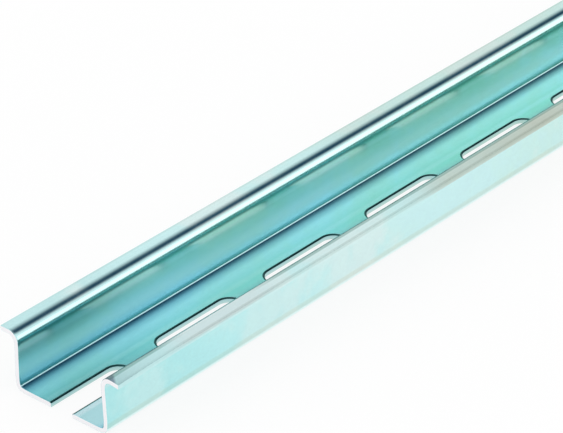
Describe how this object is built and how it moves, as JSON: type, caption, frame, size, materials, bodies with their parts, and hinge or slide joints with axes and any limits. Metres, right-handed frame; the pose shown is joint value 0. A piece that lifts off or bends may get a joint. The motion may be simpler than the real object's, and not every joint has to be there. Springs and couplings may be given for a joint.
{
  "type": "din rail",
  "caption": "Slotted top-hat mounting rail, bent from one steel strip into an open channel with two outward lips and a row of long slots along its base.",
  "frame": {"origin": "middle of the underside of the base, the face that lies on the panel", "axes": "+X along the rail, away from the end that is cut through a slot; +Z out of the panel, from the base towards the lips; +Y across the rail"},
  "size_m": [1, 0.035, 0.015],
  "materials": {
    "zinc": "zinc plated with a blue-green clear passivation, satin sheen, bare cut ends"
  },
  "bodies": {
    "root": {"rail": "zinc"}
  },
  "joints": []
}
